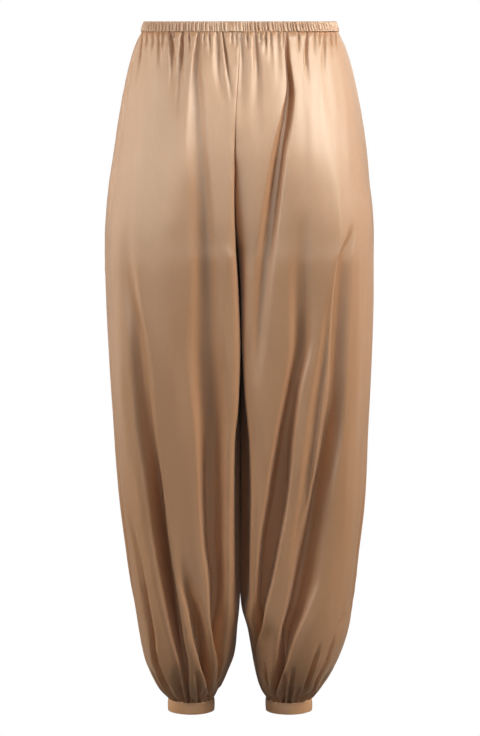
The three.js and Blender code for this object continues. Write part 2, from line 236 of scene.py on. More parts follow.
FOLDS["left", "front"] = [
    # the fold from the waistband towards the slit
    [[14, 67, 0.5, 3, 3, 3], [33, 69, 0.8, 3.5, 3, 6], [48, 69.5, 0.9, 3.5, 3.2, 9],
     [70, 72, 1.1, 4.5, 3.5, 13], [99, 74.5, 1.5, 6, 4.5, 16], [135, 69.5, 2, 9, 7, 16],
     [185, 59.5, 2, 11, 9, 14], [244, 50.5, 2, 12, 11, 13], [317, 41, 2, 13, 13, 11],
     [391, 32, 2, 13, 14, 8], [464, 26, 2, 12, 13, 5], [540, 20, 1, 8, 10, 0]],
    # the first great fold, from the thigh to the inner edge
    [[270, 92, 2, 14, 16, 0], [391, 88, 3, 15, 18, 7], [464, 88, 3, 14, 17, 12.5],
     [538, 78.5, 2, 15, 11, 20], [612, 67.5, 3, 16, 13, 29], [688, 61, 8, 17, 4.5, 37],
     [764, 48.5, 8.5, 19, 4.5, 39], [825, 38, 7, 18, 4.5, 39], [871, 29, 4.5, 14, 4.5, 33],
     [918, 22, 3, 5, 7, 13.8], [960, 20, 1, 4, 5, 0]],
    # the second great fold, from the hip to the cuff
    [[298, 165, 1, 5, 5, 0], [322, 157, 1.5, 6, 13, 5], [345, 149, 2, 7, 20, 9],
     [391, 145, 2.5, 8, 22, 12], [464, 142, 3, 10, 19, 14.5], [538, 140, 2, 15, 18, 16.5],
     [612, 133.5, 3, 17, 18, 27], [688, 118.5, 3, 14, 20, 34], [764, 103, 3, 17, 26, 36],
     [825, 90.5, 3, 15, 28, 39], [871, 81, 3, 13, 20, 39], [918, 66, 4.5, 5, 13, 39],
     [958, 59, 4, 4, 8, 31], [992, 53, 2.6, 4, 4, 20], [1014, 51, 1.5, 3, 2.5, 12],
     [1031, 51, 1, 2, 2, 4]],
    # the slanting wedge between them
    [[385, 137, 1, 7, 8, 0], [430, 130, 1.5, 8, 9, 4], [464, 126, 1.5, 9, 9, 6], [538, 116, 2, 11, 9, 8],
     [612, 107, 2, 12, 9, 8.5], [688, 97, 2, 10, 8, 8], [764, 86, 2, 9, 8, 5], [830, 76, 1, 8, 8, 0]],
    # short crisp folds that run out of the cuff
    [[955, 35, 0.6, 5, 4, 0], [982, 39, 1, 4, 3, 8], [1008, 43, 1.2, 3, 2.5, 10],
     [1031, 45, 0.8, 2, 2, 4]],
    [[970, 69, 0.6, 5, 4, 0], [994, 67.5, 1.2, 4, 3, 9], [1012, 66, 1.5, 3, 2.5, 11],
     [1031, 65, 0.8, 2, 2, 4]],
    [[962, 81, 0.6, 5, 4, 0], [990, 78, 1.2, 4, 3, 9], [1012, 75.5, 1.5, 3, 2.5, 11],
     [1031, 74, 0.8, 2, 2, 4]],
    [[994, 91, 0.6, 4, 3, 0], [1012, 87, 1.2, 3, 2.5, 8], [1031, 83, 0.8, 2, 2, 4]],
    # short folds above the cuff, towards the side
    [[925, 121, 0.5, 5, 5, 0], [958, 111, 1, 4.5, 4.5, 9], [992, 101, 1, 3.5, 3.5, 11],
     [1016, 95, 1, 3, 3, 3], [1029, 90, 1, 3, 3, 0]],
    [[880, 160, 1, 5, 7, 0], [918, 145, 1.2, 4.5, 6, 7], [958, 131, 1.2, 4, 5, 9],
     [992, 115, 1.2, 3.5, 4, 9], [1016, 108, 1, 3, 3, 3], [1029, 103, 1, 3, 3, 0]],
]
FOLDS["right", "back"] = [
    [[14, 48, 0.5, 3, 3, 2], [60, 52, 1, 6, 6, 6], [120, 56, 2, 9, 10, 9], [220, 60, 3, 12, 14, 9],
     [340, 63, 3, 14, 16, 8], [480, 62, 3, 15, 16, 10], [600, 56, 4, 16, 13, 14],
     [720, 50, 5, 14, 8, 18], [820, 43, 5, 10, 5, 19], [900, 38, 4, 8, 5, 16], [960, 36, 3, 5, 4, 12],
     [1015, 37, 1, 3, 3, 0]],
    [[300, 120, 1, 14, 14, 0], [400, 122, 2, 16, 16, 6], [500, 124, 2, 16, 18, 9],
     [620, 119, 3, 16, 15, 14], [740, 107, 6, 12, 7, 19], [840, 96, 6, 7, 5, 21], [920, 86, 4, 5, 5, 18],
     [980, 80, 3, 4, 4, 12], [1016, 78, 1, 3, 3, 0]],
    [[120, 150, 1, 8, 8, 0], [180, 146, 2, 9, 10, 5], [280, 137, 2, 11, 12, 6], [380, 124, 2, 12, 12, 5],
     [470, 112, 1, 10, 10, 0]],
    [[560, 160, 1, 10, 10, 0], [680, 158, 2, 11, 12, 6], [800, 146, 2, 10, 9, 11],
     [880, 136, 3, 7, 7, 14], [950, 124, 3, 5, 5, 13], [1014, 104, 1, 3, 3, 0]],
    [[840, 64, 1, 8, 8, 0], [900, 62, 2, 8, 6, 9], [960, 58, 2, 5, 4, 12], [1014, 54, 1, 3, 3, 0]],
]
FOLDS["left", "back"] = [
    [[14, 80, 0.5, 3, 3, 2], [50, 84, 1, 5, 5, 7], [110, 90, 2, 7, 9, 10], [200, 92, 2, 11, 12, 7],
     [300, 90, 2, 12, 14, 5], [420, 88, 3, 14, 16, 8], [540, 84, 3, 15, 16, 12],
     [660, 74, 4, 16, 12, 16], [760, 62, 6, 13, 6, 20], [850, 50, 6, 9, 5, 20], [920, 42, 4, 6, 5, 16],
     [980, 42, 2, 4, 4, 10], [1015, 43, 1, 3, 3, 0]],
    [[90, 24, 1, 6, 6, 0], [150, 27, 2, 9, 9, 5], [240, 36, 3, 11, 12, 8], [330, 40, 3, 12, 13, 7],
     [440, 42, 2, 12, 12, 5], [560, 38, 2, 10, 10, 0]],
    [[360, 150, 1, 12, 12, 0], [460, 151, 2, 14, 13, 6], [580, 146, 3, 15, 16, 11],
     [700, 134, 3, 16, 18, 16], [810, 117, 5, 14, 14, 20], [890, 101, 5, 9, 8, 20],
     [950, 88, 4, 5, 5, 16], [1016, 80, 1, 3, 3, 0]],
    [[830, 148, 1, 8, 8, 0], [890, 143, 2, 7, 7, 9], [950, 127, 3, 5, 5, 12], [1014, 105, 1, 3, 3, 0]],
    [[180, 158, 1, 8, 8, 0], [240, 155, 2, 10, 10, 4], [330, 146, 2, 11, 12, 5],
     [420, 130, 1, 10, 10, 0]],
]
FOLDS["right", "side"] = [
    [[30, -34, 0.6, 4, 4, 0], [60, -36, 1, 5, 6, 4], [130, -42, 2, 9, 10, 5], [220, -52, 2, 12, 12, 4],
     [330, -60, 1, 12, 12, 0]],
    [[210, 30, 2, 14, 14, 0], [320, 33, 3, 16, 18, 4], [460, 38, 3, 16, 18, 6], [600, 40, 3, 16, 16, 8],
     [740, 36, 3, 15, 13, 11], [850, 30, 3, 11, 9, 13], [930, 22, 3, 7, 6, 12], [1014, 12, 1, 3, 3, 0]],
    [[420, -40, 2, 14, 14, 0], [540, -38, 2, 15, 15, 4], [660, -34, 2, 14, 14, 6],
     [780, -30, 2, 12, 11, 8], [880, -24, 2, 8, 7, 9], [950, -17, 2, 5, 5, 8], [1014, -12, 1, 3, 3, 0]],
]
FOLDS["left", "side"] = [
    [[40, 28, 0.6, 5, 5, 0], [90, 32, 1, 7, 8, 4], [180, 40, 2, 11, 12, 6], [300, 46, 2, 14, 14, 5],
     [430, 48, 3, 15, 16, 6], [580, 44, 3, 16, 14, 9], [720, 38, 3, 14, 11, 12], [840, 31, 3, 10, 8, 13],
     [930, 22, 3, 6, 6, 11], [1014, 13, 1, 3, 3, 0]],
    [[260, -44, 2, 14, 14, 0], [380, -42, 2, 15, 15, 4], [520, -38, 2, 15, 15, 5],
     [680, -33, 2, 13, 12, 7], [800, -28, 2, 11, 9, 8], [900, -20, 2, 7, 6, 8], [1014, -11, 1, 3, 3, 0]],
]

# Gathers under the waistband on the front. The columns are the distance across at GATHER_TOP, a drop
# and the distance there, the end's drop and distance, the depth and the widths of the two walls.
GATHER_TOP = 14
FRONT_GATHERS = {}
FRONT_GATHERS["right"] = [
    [103, 48, 101, 104, 100, 8.5, 8, 3], [84, 58, 87, 140, 91, 8.5, 5, 5],
    [33, 60, 31, 122, 20, 5.5, 6, 8], [25, 60, 17.5, 116, 6.5, 6, 2, 3.4],
    [119, 40, 118, 72, 117, 3.4, 4, 3], [144, 55, 148, 100, 153, 4, 3.5, 4.5],
    [75, 26, 74, 44, 73, 4.4, 2.4, 2.4], [96, 24, 96, 38, 96, 4, 2, 2],
    [45, 28, 44, 50, 43, 4, 2.4, 2.4], [52, 24, 52, 38, 52, 3.4, 2, 2],
    [111, 28, 112, 44, 113, 3.6, 2.4, 2.4], [127, 28, 128, 52, 130, 3.6, 2.4, 2.4],
    [136, 26, 137, 44, 139, 3.4, 2.2, 2.2], [4, 24, 4, 40, 4, 3, 2, 2],
    [11, 24, 11, 34, 11, 3, 2, 2],
]
FRONT_GATHERS["left"] = [
    [3, 55, 6.5, 150, 6, 4.4, 5, 5], [22, 70, 25.5, 170, 25, 5.5, 6, 7],
    [98, 48, 96, 90, 99, 5.5, 3.2, 3.8], [124, 45, 123, 78, 123, 3.6, 4, 4],
    [11, 26, 12, 42, 12, 4.2, 2.2, 2.2], [30, 24, 30, 36, 30, 3, 2, 2],
    [37, 28, 37, 50, 37, 4.6, 2.6, 2.6], [44, 26, 44, 66, 45, 3.4, 3, 3],
    [55, 26, 55, 94, 58, 3.4, 4, 4], [63, 24, 63, 40, 62, 3.2, 2, 2],
    [85, 26, 85, 46, 85, 4, 2.4, 2.4], [109, 26, 109, 48, 110, 3.6, 2.4, 2.4],
    [116, 24, 116, 38, 116, 3.2, 2, 2], [133, 28, 134, 54, 137, 4.2, 2.6, 2.6],
    [141, 26, 142, 44, 144, 3.4, 2.2, 2.2],
]


def fold_from_gather(across_top, middle, across_middle, end, across_end, depth, inner, outer):
    """A front gather as a fold: deepest a little below the waistband, fading out at its end."""
    before = middle - 0.3 * (middle - GATHER_TOP)
    across_before = across_middle - 0.3 * (across_middle - across_top)
    return [
        [GATHER_TOP, across_top, 0.3, 0.6 * inner, 0.6 * outer, 0.75 * depth],
        [before, across_before, 0.4, inner, outer, depth],
        [middle, across_middle, 0.5, 1.15 * inner, 1.15 * outer, 0.8 * depth],
        [end, across_end, 0.5, 1.8 * inner, 1.8 * outer, 0],
    ]


def fold_at_drops(rows):
    """A fold's table at each of the panels' drops."""
    rows = table(FOLD_COLUMNS, *rows)
    at = {name: curve(rows["drop"], values, DROPS) for name, values in rows.items()}
    at["here"] = (DROPS >= rows["drop"][0] - 1) & (DROPS <= rows["drop"][-1])
    return at


class Panel:
    """The unfolded surface of one panel: a grid of points with a row for each drop, and for each point
    its distance along the row (along) from the middle seam or inseam. The columns are closer
    together at the walls of folds."""

    def __init__(self, leg, face):
        self.leg, self.face = leg, face
        self.rows = [self.outline_row(drop) for drop in DROPS]
        self.width = np.array([lengths[-1] for lengths, points in self.rows])
        self.folds = [self.laid(rows) for rows in FOLDS[leg, face]]
        self.gathers = []
        if face == "front":
            for gather in FRONT_GATHERS[leg]:
                self.gathers.append(self.laid(fold_from_gather(*gather)))
        self.x, self.y, self.along = np.zeros((3, len(DROPS), PANEL_COLUMNS))
        share = np.linspace(0, 1, PANEL_COLUMNS)
        for i, (lengths, points) in enumerate(self.rows):
            fine = np.linspace(0, lengths[-1], ROW_STEPS)
            crowding = np.cumsum(self.crowd(i, fine))
            crowding = (crowding - crowding[0]) / (crowding[-1] - crowding[0])
            self.along[i] = np.interp(share, crowding, fine)
            self.x[i] = np.interp(self.along[i], lengths, points[:, 0])
            self.y[i] = np.interp(self.along[i], lengths, points[:, 1])
        self.z = np.repeat(-DROPS[:, None], PANEL_COLUMNS, axis=1)

    def outline_row(self, drop):
        points = outline(drop, self.leg, self.face)
        lengths = np.concatenate([[0], np.cumsum(np.hypot(*np.diff(points, axis=0).T))])
        return lengths, points

    def laid(self, rows):
        """A fold at each of the panel's drops, with the place of its middle along each row."""
        at = fold_at_drops(rows)
        at["centre"] = np.array([
            np.interp(across, points[:, 0], lengths)
            for across, (lengths, points) in zip(at["across"], self.rows)
        ])
        return at

    def crowd(self, i, fine):
        """How close together the columns are at points along a row, as a weight."""
        weight = np.ones(len(fine))
        for each in self.folds:
            if not each["here"][i]:
                continue
            strength = min(abs(each["depth"][i]) / 12, 1.4)
            floor, inner, outer = each["floor"][i], each["inner"][i], each["outer"][i]
            for edge, width in ((-floor - inner / 2, inner), (floor + outer / 2, outer)):
                spread = max(0.8 * width, 3)
                near = bell((fine - each["centre"][i] - edge) / spread)
                weight += strength * 16 / (width + 4) * near
        return weight


def fold_sink(at, offset):
    """How far a fold sinks the cloth at a distance from its middle: by its depth on its floor, not at all
    beyond its walls, and a little the other way on the crests beside them."""
    floor, inner, outer = (at[name][:, None] for name in ("floor", "inner", "outer"))
    width = np.where(offset < 0, inner, outer)
    past = np.maximum(np.abs(offset) - floor, 0)
    crest = bell((past - 1.8 * width - 1) / (3 + 0.7 * width)) * (past > 0)
    section = 0.5 + 0.5 * np.cos(math.pi * np.clip(past / width, 0, 1)) - CREST * crest
    return np.where(at["here"], at["depth"], 0)[:, None] * section


# Gathers that are placed by chance: on the back under the waistband, and all round above the cuffs.
# place is how far round the leg they are, as a share from the front middle seam to the back one.
Gather = namedtuple("Gather", "leg at_cuff place length depth width drift")


def scattered_gathers():
    pick = random.Random(11)
    gathers = []
    for leg in SIDE:
        place = 0.47
        while place < 0.995:
            long = pick.random() ** 2.6
            gathers.append(Gather(leg, False, place, 16 + 125 * long, 2.6 + 1.6 * pick.random() + 2 * long,
                                  2.0 + 0.6 * pick.random() + 2.2 * long, pick.uniform(-5, 5)))
            place += pick.uniform(0.015, 0.031)
        place = 0.01
        while place < 0.99:
            long = pick.random() ** 2
            gathers.append(Gather(leg, True, place, 24 + 60 * long, 7 + 4 * pick.random(),
                                  1.5 + 0.6 * pick.random() + 0.7 * long, pick.uniform(-5, 5)))
            place += pick.uniform(0.025, 0.052)
    return gathers


def round_of(leg, face):
    """How far round the leg a panel's points are, from the front middle seam to the back one."""
    panel = PANELS[leg, face]
    if face == "front":
        return panel.along
    return (PANELS[leg, "front"].width + panel.width)[:, None] - panel.along


def gather_sink(gather, leg, face):
    start = PANEL_END if gather.at_cuff else PANEL_TOP
    t = np.abs(DROPS - start) / gather.length
    whole = PANELS[leg, "front"].width + PANELS[leg, "back"].width
    centre = gather.place * whole + gather.drift * t
    spread = (gather.width * (1 + 2.2 * np.clip(t, 0, 1)))[:, None]
    depth = gather.depth * (1 - smooth(0.35, 1, t))[:, None]
    return depth * np.exp(-(np.abs(round_of(leg, face) - centre[:, None]) / spread) ** 1.7)


def soft_ripples(panel):
    """The slight uneven sway of hanging satin, long in the drop and short across."""
    side = SIDE[panel.leg]
    ripple = np.zeros(panel.x.shape)
    for i in range(ripple.shape[0]):
        for j in range(ripple.shape[1]):
            x, y, z = side * panel.x[i, j], panel.y[i, j], panel.z[i, j]
            coarse = noise.noise(Vector((x / 46, y / 46, z / 330)))
            fine = noise.noise(Vector((x / 17 + 40, y / 17, z / 140)))
            ripple[i, j] = COARSE_RIPPLE * coarse + FINE_RIPPLE * fine
    return ripple


def puckers(kind):
    """How far a seam is drawn in at each drop, unevenly, by its stitches. kind is the seam's number."""
    depths = [0.55 + 0.9 * noise.noise(Vector((7.3 * kind, drop / 13, 0))) for drop in DROPS]
    return np.array(depths)[:, None]


PANELS = {(leg, face): Panel(leg, face) for leg in SIDE for face in ("front", "back")}
GATHERS = scattered_gathers()


def relief(leg, face):
    """How far a panel's points sink in, all folds together."""
    panel = PANELS[leg, face]
    other = PANELS["left" if leg == "right" else "right", face]
    sink = np.zeros(panel.x.shape)
    for at in panel.folds + panel.gathers:
        sink += fold_sink(at, panel.along - at["centre"][:, None])
    # above the slit the other leg's folds reach past the middle seam
    above = (1 - smooth(SLIT_TOP - 40, SLIT_TOP, DROPS))[:, None]
    for at in other.folds + other.gathers:
        sink += above * fold_sink(at, -panel.along - at["centre"][:, None])
    # folds end before the side seam, and where the legs lie against each other they are pressed flat
    to_side = panel.width[:, None] - panel.along
    sink *= smooth(0, SIDE_FADE, to_side)
    together = smooth(SLIT_TOP, SLIT_TOP + 70, DROPS) * (1 - smooth(LEGS_PART, LEGS_PART + 70, DROPS))
    pressed = together[:, None] * (1 - smooth(6, 26, panel.along))
    sink *= 1 - pressed
    beside = -to_side if face == "front" else to_side
    for rows in FOLDS[leg, "side"]:
        at = fold_at_drops(rows)
        sink += fold_sink(at, beside - at["across"][:, None]) * smooth(0, 30, panel.along)
    for gather in GATHERS:
        if gather.leg == leg:
            sink += gather_sink(gather, leg, face)
    sink += soft_ripples(panel) * (1 - pressed)
    # the seams at the waistband and the cuffs hold the cloth
    held = smooth(PANEL_TOP, PANEL_TOP + 6, DROPS) * (1 - smooth(PANEL_END - 4, PANEL_END, DROPS))
    return sink * (0.3 + 0.7 * held)[:, None]


def across_normals(panel):
    """The level direction into the leg at each point."""
    dx, dy = np.gradient(panel.x, axis=1), np.gradient(panel.y, axis=1)
    length = np.hypot(dx, dy)
    turn = 1 if panel.face == "front" else -1
    return -turn * dy / length, turn * dx / length


def slit_shift(panel):
    """How far the cloth beside the front middle seam and the slit is drawn outward from the middle. It
    stays where it is at the inseam."""
    if panel.face == "back":
        return np.zeros(panel.x.shape)
    shift = curve(SLIT["drop"], SLIT[panel.leg], DROPS)[:, None]
    crease, full = form("creaseF", DROPS)[:, None], form("front", DROPS)[:, None]
    forward = np.clip((crease - panel.y) / np.maximum(crease - full, 1), 0, 1)
    in_slit = smooth(SLIT_TOP, SLIT_TOP + 50, DROPS)[:, None]
    lean = 1 - in_slit * (1 - smooth(0.2, 0.6, forward))
    return shift * lean * bell(panel.x / SLIT_REACH)


def inner_wall_bend(panel):
    """The legs meet along a bent line, so that no light comes straight through."""
    if panel.face == "front":
        return 0.0
    below = smooth(SLIT_TOP - 10, SLIT_TOP + 70, DROPS)[:, None]
    return 3.0 * below * bell((panel.y - 55) / 26) * bell(panel.x / 22)


def surface(leg, face):
    """The folded outer surface of a panel, in millimetres."""
    panel = PANELS[leg, face]
    sink = relief(leg, face)
    # the cloth tucks in under the waistband and into the cuff
    sink += BAND_TUCK * (1 - smooth(PANEL_TOP, BAND_DROP + 1.8, DROPS))[:, None]
    sink -= BAND_PUFF * bell((DROPS - BAND_DROP - 7) / 5)[:, None]
    sink += CUFF_TUCK * smooth(CUFF_DROP - 3, PANEL_END, DROPS)[:, None]
    # seams draw the cloth in along a fine line
    to_side = panel.width[:, None] - panel.along
    middle_seam = 1 if face == "front" else 2
    side_seam = 3 if leg == "right" else 4
    for distance, kind in ((panel.along, middle_seam), (to_side, side_seam)):
        sink += SEAM_SINK * bell(distance / SEAM_LINE) + puckers(kind) * bell(distance / PUCKER_REACH)
    nx, ny = across_normals(panel)
    x = np.maximum(panel.x + nx * sink, SEAM_HALF_GAP) + slit_shift(panel)
    return np.stack([SIDE[leg] * x + inner_wall_bend(panel), panel.y + ny * sink, panel.z], axis=2)


def normals_of(grid):
    normal = np.cross(np.gradient(grid, axis=1), np.gradient(grid, axis=0))
    return normal / np.linalg.norm(normal, axis=2, keepdims=True)


def shell_mesh(name, outside, outward, grain):
    """A closed thin shell from a grid of outside points. outward is 1 where the grid's own normals point
    out and -1 where they point in. grain is the grid of cloth coordinates, in metres."""
    rows, columns = outside.shape[:2]
    inside = outside - outward * CLOTH * normals_of(outside)
    points = np.vstack([outside.reshape(-1, 3), inside.reshape(-1, 3)]) * MM
    index = np.arange(rows * columns).reshape(rows, columns)
    a, b = index[:-1, :-1].ravel(), index[:-1, 1:].ravel()
    c, d = index[1:, 1:].ravel(), index[1:, :-1].ravel()
    outer = np.column_stack([a, b, c, d]) if outward > 0 else np.column_stack([a, d, c, b])
    shift = rows * columns
    inner = outer[:, ::-1] + shift
    loop = np.concatenate([index[0, :-1], index[:-1, -1], index[-1, :0:-1], index[:0:-1, 0]])
    after = np.roll(loop, -1)
    rim = np.column_stack([after, loop, loop + shift, after + shift])
    if outward < 0:
        rim = rim[:, ::-1]
    faces = np.vstack([outer, inner, rim])
    uv = np.vstack([grain.reshape(-1, 2), grain.reshape(-1, 2)])
    mesh = mesh_of(name, points, faces, uv)
    inner_side = np.zeros(len(faces), np.int32)
    inner_side[len(outer):len(outer) + len(inner)] = 1
    mesh.polygons.foreach_set("material_index", inner_side)
    return mesh


def mesh_of(name, points, faces, uv):
    """A smooth-shaded mesh of quads with one cloth coordinate for each point."""
    mesh = bpy.data.meshes.new(name)
    mesh.vertices.add(len(points))
    mesh.vertices.foreach_set("co", points.astype(np.float32).ravel())
    mesh.loops.add(faces.size)
    mesh.loops.foreach_set("vertex_index", faces.astype(np.int32).ravel())
    mesh.polygons.add(len(faces))
    mesh.polygons.foreach_set("loop_start", np.arange(0, faces.size, 4, dtype=np.int32))
    mesh.polygons.foreach_set("loop_total", np.full(len(faces), 4, np.int32))
    layer = mesh.uv_layers.new(name="grain")
    layer.data.foreach_set("uv", uv[faces.ravel()].astype(np.float32).ravel())
    mesh.update(calc_edges=True)
    mesh.polygons.foreach_set("use_smooth", np.ones(len(faces), bool))
    return mesh


def add_object(name, data):
    thing = bpy.data.objects.new(name, data)
    bpy.context.scene.collection.objects.link(thing)
    return thing


def add_piece(mesh, node, materials):
    piece = add_object(mesh.name, mesh)
    for material in materials:
        mesh.materials.append(material)
    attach(piece, "root")
    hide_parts(node)
    return piece


def make_panel(leg, face, materials):
    panel = PANELS[leg, face]
    grain = np.stack([panel.along * MM, -panel.z * MM], axis=2)
    # the grid runs from the middle to the side, so its normals turn with the leg and the face
    outward = 1 if (leg == "right") == (face == "front") else -1
    mesh = shell_mesh(f"{face}_{leg}_cloth", surface(leg, face), outward, grain)
    return add_piece(mesh, f"{face}_{leg}", materials)


# The waistband: a casing drawn up by its elastic into fine ribs
BAND_HALF_WIDTH = 148.0
BAND_HALF_DEPTH = 98.0
BAND_POWER = 2.1  # of the superellipse that it follows
BAND_FLARE = 4.0  # how much narrower its top edge is, on each side
BAND_THICKNESS = 3.8
BAND_STEPS = 1500  # points round the waistband
CURVE_POINTS = 4001  # points that its length round is measured through
BAND_LEVELS = 12  # rows on its outside
ROLL_LEVELS = 6  # steps over its top roll
LINING_LEVELS = 8  # rows down its inside
FACE_SHARE = 0.93  # the share of its height that is below the roll
RIB_PITCH = 4.8
RIB_DEPTH = 3.5
RIB_GAP = 1.3  # half the width of the valley between two ribs
RIB_LEAN = 1.6  # how far a rib leans over the band's height


def band_round():
    """Evenly spaced points round the waistband, their outward normals and its length round."""
    angle = np.linspace(0, 2 * math.pi, CURVE_POINTS)
    cos, sin = np.cos(angle), np.sin(angle)
    x = BAND_HALF_WIDTH * np.sign(cos) * np.abs(cos) ** (2 / BAND_POWER)
    y = BAND_HALF_DEPTH * np.sign(sin) * np.abs(sin) ** (2 / BAND_POWER)
    lengths = np.concatenate([[0], np.cumsum(np.hypot(np.diff(x), np.diff(y)))])
    at = np.linspace(0, lengths[-1], BAND_STEPS, endpoint=False)
    x, y = np.interp(at, lengths, x), np.interp(at, lengths, y)
    dx, dy = np.roll(x, -1) - np.roll(x, 1), np.roll(y, -1) - np.roll(y, 1)
    length = np.hypot(dx, dy)
    return x, y, dy / length, -dx / length, lengths[-1]


def rib_wave(around, perimeter):
    """The height of the uneven ribs round the waistband: 1 on a rib and about 0 between two."""
    pick = random.Random(5)
    place = 0.0
    valleys = []
    while place < perimeter:
        valleys.append((place, pick.uniform(0.65, 1)))
        place += RIB_PITCH * pick.uniform(0.6, 1.5)
    wave = np.ones(len(around))
    for place, depth in valleys:
        gap = np.abs((around - place + perimeter / 2) % perimeter - perimeter / 2)
        wave -= depth * bell(gap / RIB_GAP)
    return np.clip(wave, -0.1, 1)


def band_section():
    """The waistband's section, from the outside's bottom edge over the top roll and down the inside. Each
    row gives how far out it is, its drop, how deep the ribs are there and its share of the height."""
    section = []
    for i in range(BAND_LEVELS):
        t = i / (BAND_LEVELS - 1)
        bulge = 0.55 * math.sin(math.pi * t)
        ribs = 0.35 + 0.65 * math.sin(math.pi * t) ** 0.5
        section.append((-BAND_FLARE * t**1.3 + bulge, BAND_DROP * (1 - FACE_SHARE * t), ribs, t))
    half = BAND_THICKNESS / 2
    for i in range(1, ROLL_LEVELS):
        a = math.pi * i / ROLL_LEVELS
        drop = BAND_DROP * (1 - FACE_SHARE) * (1 - math.sin(a))
        section.append((-BAND_FLARE - half + half * math.cos(a), drop, 0.3, 1.0))
    for i in range(LINING_LEVELS):
        t = 1 - i / (LINING_LEVELS - 1)
        ribs = 0.5 * math.sin(math.pi * t)
        section.append((-BAND_FLARE * t**1.3 - BAND_THICKNESS, BAND_DROP * (1 - FACE_SHARE * t), ribs, t))
    return section


def ring_mesh(name, grid, around, turn):
    """A closed ring from a grid of points, a row for each point of its section. around is how far round
    the ring each column is. turn is the way its section runs: 1 or -1."""
    rows, columns = grid.shape[:2]
    index = np.arange(rows * columns).reshape(rows, columns)
    below, beside = np.roll(index, -1, axis=0), np.roll(index, -1, axis=1)
    both = np.roll(below, -1, axis=1)
    order = [index, below, both, beside] if turn > 0 else [index, beside, both, below]
    faces = np.stack(order, axis=2).reshape(-1, 4)
    uv = np.stack([np.repeat(around[None] * MM, rows, axis=0), -grid[:, :, 2] * MM], axis=2)
    return mesh_of(name, grid.reshape(-1, 3) * MM, faces, uv.reshape(-1, 2))


def make_waistband(materials):
    x, y, nx, ny, perimeter = band_round()
    around = np.linspace(0, perimeter, BAND_STEPS, endpoint=False)
    wave = rib_wave(around, perimeter)
    profile = band_section()
    # a short stretch by the front middle seam is smooth, where the casing's ends are joined
    front = bell((x + 11) / 8) * (y < 0)
    grid = np.zeros((len(profile), BAND_STEPS, 3))
    for i, (out, drop, ribs, height) in enumerate(profile):
        wave_here = np.interp((around + RIB_LEAN * height) % perimeter, around, wave, period=perimeter)
        push = out + RIB_DEPTH * ribs * (wave_here - 1) * (1 - 0.9 * front)
        grid[i, :, 0] = x + nx * push
        grid[i, :, 1] = y + ny * push
        ragged = 0.8 * math.exp(-((height / 0.2) ** 2)) - 0.45 * math.exp(-(((height - 1) / 0.2) ** 2))
        grid[i, :, 2] = -drop - ragged * (wave_here - 0.7)
    mesh = ring_mesh("waistband_casing", grid, around, -1)
    return add_piece(mesh, "waistband", materials)


# The cuffs: plain narrow bands, pressed flat
CUFF_RADIUS = 35.6
CUFF_SPREAD = 74.6  # from the middle of the body to a cuff's centre
CUFF_BACK = 3.0  # how far behind the waist's centre that is
CUFF_THICKNESS = 1.5
CUFF_STEPS = 220  # points round a cuff
ROUND_STEPS = 6  # steps over each of its rounded edges
CUFF_LEVELS = 9  # steps down its outside
CUFF_LINING_LEVELS = 7  # steps up its inside


def cuff_section():
    """A cuff's section: over the top edge, down the outside, round the hem and up the inside. Each row
    gives how far out it is and its drop."""
    edge = CUFF_THICKNESS / 2
    flat = HEM_DROP - CUFF_DROP - 2 * edge
    section = []
    for i in range(ROUND_STEPS + 1):
        a = math.pi * i / ROUND_STEPS
        section.append((-edge + edge * math.cos(math.pi - a), CUFF_DROP + edge - edge * math.sin(a)))
    for i in range(1, CUFF_LEVELS):
        t = i / CUFF_LEVELS
        section.append((0.35 * math.sin(math.pi * t), CUFF_DROP + edge + flat * t))
    for i in range(ROUND_STEPS + 1):
        a = math.pi * i / ROUND_STEPS
        section.append((-edge + edge * math.cos(a), HEM_DROP - edge + edge * math.sin(a)))
    for i in range(1, CUFF_LINING_LEVELS):
        t = 1 - i / CUFF_LINING_LEVELS
        section.append((-CUFF_THICKNESS, CUFF_DROP + edge + flat * t))
    return section


def make_cuff(leg, materials):
    side = SIDE[leg]
    angle = np.linspace(0, 2 * math.pi, CUFF_STEPS, endpoint=False)
    height = HEM_DROP - CUFF_DROP
    profile = cuff_section()
    wobble = 0.35 * np.sin(3 * angle + side) + 0.2 * np.sin(5 * angle + 2)
    grid = np.zeros((len(profile), CUFF_STEPS, 3))
    for i, (out, drop) in enumerate(profile):
        radius = CUFF_RADIUS + out + wobble * (drop - CUFF_DROP) / height
        grid[i, :, 0] = side * CUFF_SPREAD + radius * np.cos(angle)
        grid[i, :, 1] = CUFF_BACK + radius * np.sin(angle)
        grid[i, :, 2] = -drop
    mesh = ring_mesh(f"cuff_{leg}_band", grid, angle * CUFF_RADIUS, 1)
    return add_piece(mesh, f"cuff_{leg}", materials)


def node_group(name, inputs, outputs):
    """An empty node group. inputs are (name, kind, value) and outputs (name, kind)."""
    tree = bpy.data.node_groups.new(name, "ShaderNodeTree")
    for label, kind, value in inputs:
        socket = tree.interface.new_socket(label, in_out="INPUT", socket_type="NodeSocket" + kind)
        if value is not None:
            socket.default_value = value
    for label, kind in outputs:
        tree.interface.new_socket(label, in_out="OUTPUT", socket_type="NodeSocket" + kind)
    return tree, tree.nodes.new("NodeGroupInput").outputs, tree.nodes.new("NodeGroupOutput")


def fill(tree, node, **values):
    """Sets or links a node's inputs by their names, with _ for spaces, and gives the node back."""
    for name, value in values.items():
        socket = node.inputs[name.replace("_", " ")]
        if hasattr(value, "is_output"):
            tree.links.new(value, socket)
        else:
            socket.default_value = value
    return node


def maths(tree, operation, first, second=None):
    node = tree.nodes.new("ShaderNodeMath")
    node.operation = operation
    for socket, value in zip(node.inputs, (first, second)):
        if isinstance(value, (int, float)):
            socket.default_value = value
        elif value is not None:
            tree.links.new(value, socket)
    return node.outputs[0]


